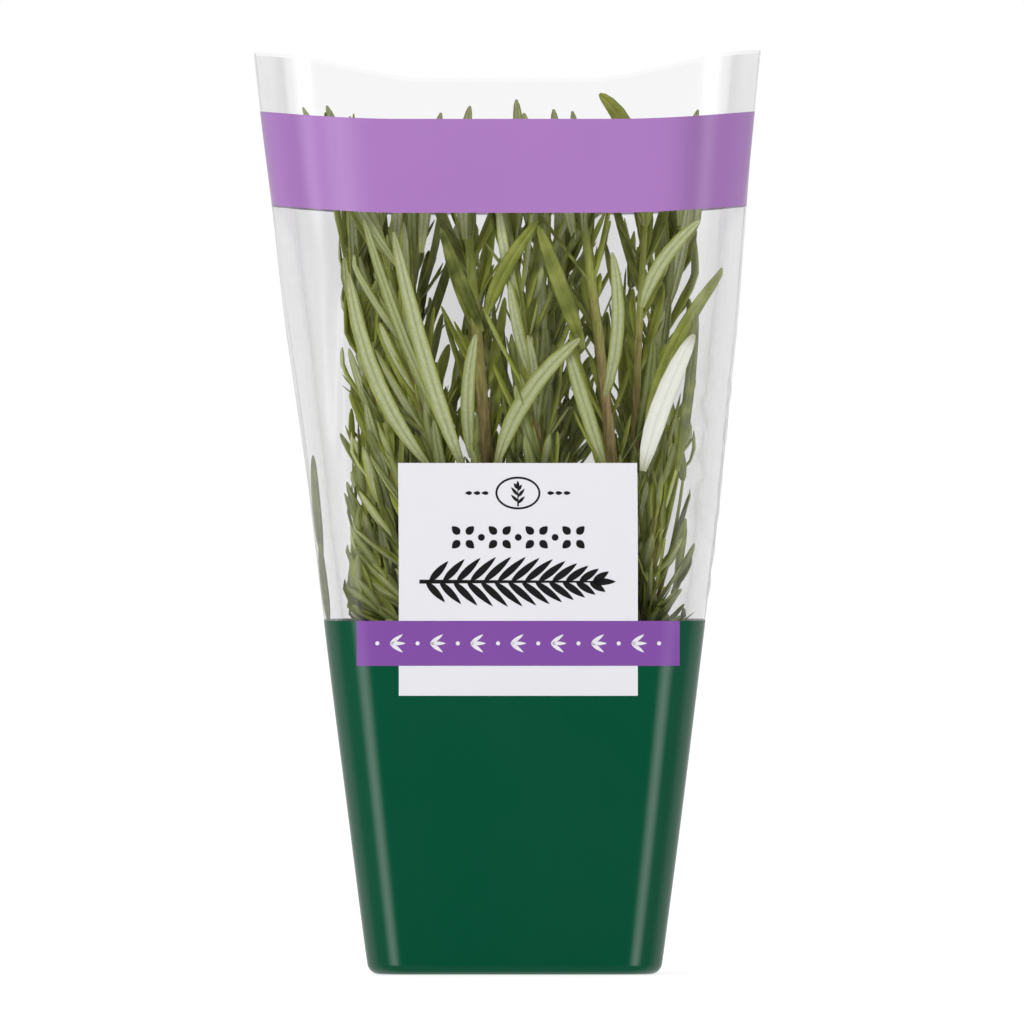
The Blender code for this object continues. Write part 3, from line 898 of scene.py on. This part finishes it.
def lone_leaf(pile, base, bend, tip, depths, width, tone, felt_front):
    """A leaf that is placed by its base, bend and tip as seen from the front."""
    places = np.array([(x, depth, z) for (x, z), depth in zip((base, bend, tip), depths)]) / PER_METRE
    places[:, 1] -= half_at(places[:, 2])
    path = press_inside(bezier(*places, NEEDLE_STATIONS))
    upper = np.array((0.0, 1.0 if felt_front else -1.0, -0.1))
    width /= PER_METRE
    needle(pile, path, upper, width, width * LONE_THICKNESS, tone)


# Side twigs that fill the lower sleeve, in millimetres: shoot, height where each starts, and where it ends
TWIGS = (
    (1, 94, (-46, -24, 150)), (1, 106, (-44, 4, 164)), (1, 92, (-45, -10, 134)), (2, 93, (-43, -44, 148)),
    (2, 100, (-38, -50, 162)), (2, 110, (-41, -40, 174)), (2, 92, (-45, -36, 128)), (6, 98, (-46, 18, 156)),
    (6, 112, (-43, 30, 174)), (8, 96, (-43, 46, 150)), (8, 108, (-20, 54, 170)), (4, 94, (45, -42, 144)),
    (4, 104, (46, -48, 164)), (4, 92, (44, -46, 128)), (5, 95, (50, -20, 148)), (5, 108, (49, -6, 166)),
    (7, 98, (50, 24, 156)), (3, 128, (6, -36, 200)), (7, 110, (46, 44, 172)), (10, 98, (30, 54, 154)),
    (10, 108, (4, 56, 170)), (11, 96, (26, -50, 146)), (11, 104, (-12, -52, 156)), (9, 110, (20, 28, 186)),
    (3, 110, (-26, -30, 184)), (1, 91, (-47, -28, 116)), (2, 91, (-44, -42, 112)), (4, 91, (44, -42, 114)),
    (5, 91, (48, -26, 118)), (8, 126, (-30, 42, 202)), (8, 140, (-10, 38, 212)), (9, 130, (-6, 30, 206)),
    (9, 124, (8, 36, 202)), (10, 128, (20, 44, 208)), (10, 140, (38, 42, 214)), (6, 130, (-42, 16, 208)),
    (7, 130, (44, 16, 208)), (9, 150, (-16, 26, 224)), (10, 152, (12, 42, 224)),
)
TWIG_RADIUS = 0.0007
TWIG_SIDES = 7
TWIG_STEPS = 26


def grow_twig(leaves, bark, shoot, height, end, chance):
    """A thin side branch that curves up from the stem, with pairs of short leaves."""
    start, end = shoot.at(height / PER_METRE), np.array(end) / PER_METRE
    bend = (start + end) / 2 + (end - start) * (0.18, 0.18, 0) - (0, 0, 0.2 * (end[2] - start[2]))
    path = press_inside(bezier(start, bend, end, np.linspace(0, 1, TWIG_STEPS)), 2 * FILM_MARGIN)
    reach = np.linspace(1.3, 0.6, TWIG_STEPS)[:, None, None] * TWIG_RADIUS
    angles = math.tau * np.arange(TWIG_SIDES) / TWIG_SIDES
    circle = np.stack([np.cos(angles), np.sin(angles), 0 * angles], axis=1)
    faces = capped_faces(TWIG_STEPS, TWIG_SIDES)
    del faces[-2]  # no face at the foot, which is inside the stem
    bark.add(path[:, None, :] + reach * circle, faces, green=np.repeat(np.linspace(0.35, 1.0, TWIG_STEPS), TWIG_SIDES))
    draw = chance.uniform
    turn = draw(0, math.tau)
    for k in range(4, TWIG_STEPS, 2):
        up = unit(path[min(k + 1, TWIG_STEPS - 1)] - path[k - 1])
        for way in (0, math.pi):
            outward = outward_at(turn + way + draw(-0.8, 0.8), up)
            spread = draw(0.1, 0.75)
            length = draw(0.009, 0.023) * (1.1 if k < 18 else 0.8)
            first, later = spread_out(up, outward, spread), spread_out(up, outward, spread * 0.5)
            middle = path[k] + first * length * 0.5
            line = fitted(bezier(path[k], middle, middle + later * length * 0.5, SMALL_STATIONS), chance)
            if hides_stem(line):
                continue
            wide = draw(0.0017, 0.0035)
            tone, twist = draw(0, 1), draw(-0.5, 0.5)
            if not in_gap(line):
                needle(leaves, line, upper_side(up, outward, spread), wide, wide * THICKNESS, tone, True, twist)
        turn += math.pi / 2 + draw(-0.3, 0.3)


SIDE_SPREAD = math.radians(34)  # how far the leaves of a shoot stand out from it
SHARP_LEAF = math.radians(60)  # edges sharper than this are shaded as edges
SHARP_CRUMB = math.radians(50)


def build_shoot(shoot, leaf, bark):
    """Pairs of leaves up a shoot, each with a tuft of small ones, then its single leaves, side twigs and stem."""
    chance = np.random.default_rng(40 + shoot.number)
    draw = chance.uniform
    pile = Pile("felt", "tone", "along")
    z = GROUND + 0.004
    turn = draw(0, math.tau)
    while z < shoot.tip + 0.001:
        share = (z - GROUND) / (shoot.tip - GROUND)
        length = (0.022 + 0.014 * share) * (0.75 if share > 0.93 else 1.0)
        for way in (0, math.pi):
            angle = turn + way + draw(-0.25, 0.25)
            spread = SIDE_SPREAD * draw(0.55, 1.1) * (0.55 if share > 0.9 else 1.0)
            long, wide = length * draw(0.75, 1.15), draw(0.0032, 0.0044)
            grown_leaf(pile, shoot, z, angle, long, wide, spread, draw(0.1, 0.7), chance)
            for _ in range(chance.integers(3, 8) if share < 0.6 else chance.integers(1, 5)):
                beside = angle + draw(-0.7, 0.7)
                long, wide = draw(0.008, 0.018), draw(0.0016, 0.0026)
                spread, curve = SIDE_SPREAD * draw(0.3, 1.3), draw(-0.2, 0.5)
                grown_leaf(pile, shoot, z + 0.001, beside, long, wide, spread, curve, chance, small=True)
        turn += math.pi / 2 + draw(-0.2, 0.2)
        z += draw(0.0048, 0.0075) * (1.15 if 0.25 < share < 0.85 else 0.9)
    for number, *rest in LONE_LEAVES:
        if number == shoot.number:
            lone_leaf(pile, *rest)
    wood = Pile("green")
    for number, height, end in TWIGS:
        if number == shoot.number:
            grow_twig(pile, wood, shoot, height, end, chance)
    pile.piece(f"shoot_leaves_{shoot.number:02d}", "leaf", leaf, (f"leaves_{shoot.number:02d}",), SHARP_LEAF)
    build_stem(wood, shoot, bark, chance)


STEM_SIDES = 12
STEM_STEP = 0.0016
NODE_SPACING = 0.0062  # between the thicker places where leaves grow


def build_stem(pile, shoot, bark, chance):
    """The stem with a slight thickening at each node of leaves, and shallow ridges."""
    levels = np.array(levels_between(shoot.z[0], shoot.tip, STEM_STEP))
    angles = math.tau * np.arange(STEM_SIDES) / STEM_SIDES
    phase = chance.uniform(0, math.tau)
    rows = []
    for z in levels:
        node = 1 + 0.1 * max(0.0, math.sin(z / NODE_SPACING * math.tau + phase)) ** 4
        ridged = 1 + 0.05 * np.cos(4 * angles + phase) + 0.03 * np.cos(7 * angles + z * 500)
        reach = shoot.thickness(z) * STOUT.get(shoot.number, 1.0) * node * ridged
        rows.append(shoot.at(z) + np.stack([reach * np.cos(angles), reach * np.sin(angles), 0 * angles], axis=1))
    share = (levels - GROUND) / (shoot.tip - GROUND)
    pile.add(rows, capped_faces(len(levels), STEM_SIDES), green=np.repeat(share, STEM_SIDES))
    pile.piece(f"bark_{shoot.number:02d}", "stem_bark", bark, (f"stem_{shoot.number:02d}",))


# ---- compost and pot


CRUMBS = 700
CRUMB = ((0, 0, 1), (0.9, 0, 0.1), (0, 0.9, -0.1), (-0.9, 0, 0.1), (0, -0.9, -0.1), (0, 0, -1))
CRUMB_FACES = ((0, 1, 2), (0, 2, 3), (0, 3, 4), (0, 4, 1), (5, 2, 1), (5, 3, 2), (5, 4, 3), (5, 1, 4))


def build_compost():
    """The plug of compost with a crumbly top, and loose crumbs on it."""
    chance = np.random.default_rng(8)
    low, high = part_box("compost")
    points = vertices_of("compost")
    rim = points[points[:, 2] > low.z + 0.05]
    half = abs(rim[:, 0]).max()
    edge_height = float(np.median(rim[abs(abs(rim[:, 0]) - half) < 0.3 * MM][:, 2]))
    corner = corner_at(edge_height) - (half_at(edge_height) - half)
    x, y, _, _ = section(half, corner)
    foot = (abs(points[points[:, 2] < low.z + 1 * MM][:, 0]).max()) / half

    def top_at(share):
        """The height of the mounded top at this share of the way to its edge."""
        return edge_height + (high.z - edge_height) * math.cos(share * math.pi / 2)

    side = ((0.02, low.z), (foot * 0.6, low.z), (foot, low.z), (foot + 0.02, low.z + 0.004), (1.0, edge_height - 0.002))
    rows = [np.stack([x * share, y * share, 0 * x + z], axis=-1) for share, z in side]
    for share in np.linspace(1.0, 0.02, 46):
        top = np.stack([x * share, y * share, 0 * x + top_at(share)], axis=-1)
        rough = 0.0007 * ripple(top, 0.011, 21) + 0.0004 * ripple(top, 0.004, 22)
        top[:, 2] += rough * (1.0 if share < 0.99 else 0.3)
        rows.append(top)
    pile = Pile()
    pile.add(rows, capped_faces(len(rows), len(x)))
    for _ in range(CRUMBS):
        x0, y0 = chance.uniform(-0.93, 0.93, 2) * half
        size = 0.0004 + 0.0014 * chance.uniform() ** 2
        shape = np.array(CRUMB) * chance.uniform(0.6, 1.4, (6, 1)) * size * chance.uniform(0.6, 1.5, (1, 3))
        pile.add(shape + (x0, y0, top_at(min(1.0, math.hypot(x0, y0) / half)) + 0.0005), CRUMB_FACES)
    pile.piece("compost_plug", "compost", compost_finish(), ("compost",), SHARP_CRUMB)


def dress_pot():
    """The CAD pot itself, in its own material."""
    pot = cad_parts["nursery_pot"]
    pot.data.materials.clear()
    pot.data.materials.append(pot_finish())


# ---- stage: floor, light and camera


FLOOR_HALF = 30.0
FLOOR_LEVEL = -0.0003
FLOOR_GLOW = 0.83


def build_stage():
    """A pale floor that glows a little, so that it meets the white behind it without an edge."""
    mesh = bpy.data.meshes.new("floor")
    corners = [(x * FLOOR_HALF, y * FLOOR_HALF, FLOOR_LEVEL) for x, y in ((-1, -1), (1, -1), (1, 1), (-1, 1))]
    mesh.from_pydata(corners, [], [(0, 1, 2, 3)])
    floor = bpy.data.objects.new("floor", mesh)
    bpy.context.scene.collection.objects.link(floor)
    s = Shader("floor")
    diffuse = s.plain("BsdfDiffuse", (0.32, 0.32, 0.32))
    glow = s.plain("Emission", (1, 1, 1), Strength=FLOOR_GLOW)
    mesh.materials.append(s.done(s.node("AddShader", {0: diffuse, 1: glow}).outputs[0]))
    floor.visible_glossy = False


# Brightness of the surroundings against how far a direction points behind the object
WORLD_LEVELS = ((-1.0, 0.015), (-0.86, 0.015), (-0.7, 0.25), (0.0, 0.35), (0.12, 0.75), (0.35, 1.25))
MIRRORED_LEVEL = 0.5  # share of that brightness that shows in reflections


def build_world():
    """White behind the object, dimmer in front, so that the print stays deep and its edges are lit."""
    s = Shader("studio", world=True)
    way = s.node("SeparateXYZ", {0: s.node("TexCoord").outputs["Generated"]}).outputs["Y"]
    ramp = s.node("ValToRGB", {0: s.span(way, -1.0, 1.0)})
    stops = ramp.color_ramp.elements
    for place, level in WORLD_LEVELS[:-2]:
        stops.new((place + 1) / 2)
    for stop, (place, level) in zip(stops, WORLD_LEVELS):
        stop.position, stop.color = (place + 1) / 2, (level, level, level, 1)
    path = s.node("LightPath")
    dimmed = s.span(path.outputs["Is Glossy Ray"], 0.0, 1.0, 1.0, MIRRORED_LEVEL)
    around = s.plain("Background", ramp.outputs[0], Strength=dimmed)
    seen = s.plain("Background", (1, 1, 1))
    bpy.context.scene.world = s.done(s.blend(path.outputs["Is Camera Ray"], around, seen))


LIT = Vector((0, 0, 0.14))  # the point that every light faces


def softbox(name, azimuth, distance, wide, high, level, power):
    """An area light turned to the object; the azimuth is from the camera's side, positive to the right."""
    light = bpy.data.lights.new(name, "AREA")
    light.shape = "RECTANGLE"
    light.size, light.size_y, light.energy = wide, high, power
    made = bpy.data.objects.new(name, light)
    angle = math.radians(azimuth)
    made.location = (distance * math.sin(angle), -distance * math.cos(angle), level)
    made.rotation_euler = (LIT - made.location).to_track_quat("-Z", "Y").to_euler()
    made.visible_camera = False
    bpy.context.scene.collection.objects.link(made)
    return made


# Widths of the lights stacked at each side, so that their reflections fade out softly
STACK = (0.32, 0.62, 0.92)
SIDE_AZIMUTH = 41
SIDE_DISTANCE = 1.6
SIDE_HEIGHT = 2.4
SIDE_RADIANCE = 0.85
KEY_POWER, OVERHEAD_POWER = 29, 4  # watts


def build_lights():
    for side, way in (("left", -1), ("right", 1)):
        for place, wide in enumerate(STACK):
            power = math.pi * wide * SIDE_HEIGHT * SIDE_RADIANCE
            made = softbox(f"softbox_{side}_{place}", SIDE_AZIMUTH * way, SIDE_DISTANCE + 0.01 * place,
                           wide, SIDE_HEIGHT, LIT.z, power)
            made.visible_diffuse = place < 1
    softbox("key", -14, 2.4, 0.5, 0.5, 0.95, KEY_POWER).visible_glossy = False
    softbox("overhead", 0, 0.4, 1.6, 1.6, 1.9, OVERHEAD_POWER)


AIM = Vector((-0.0008, 0.0, 0.1357))  # the middle of the view
EYE = Vector((AIM.x, -11.0, 0.175))
LENS, SENSOR, VIEW_END = 1312, 36, 60


def build_camera():
    """A long lens from far off, a little above, as in the photo."""
    camera = bpy.data.cameras.new("camera")
    camera.lens, camera.sensor_width, camera.clip_end = LENS, SENSOR, VIEW_END
    made = bpy.data.objects.new("camera", camera)
    made.location = EYE
    made.rotation_euler = (AIM - made.location).to_track_quat("-Z", "Y").to_euler()
    bpy.context.scene.collection.objects.link(made)
    bpy.context.scene.camera = made
    bpy.context.scene.view_settings.view_transform = "Standard"


build_film()
build_print()
leaf_material, bark_material = leaf_finish(), bark_finish()
for one in SHOOTS:
    build_shoot(one, leaf_material, bark_material)
build_compost()
dress_pot()
build_stage()
build_world()
build_lights()
build_camera()
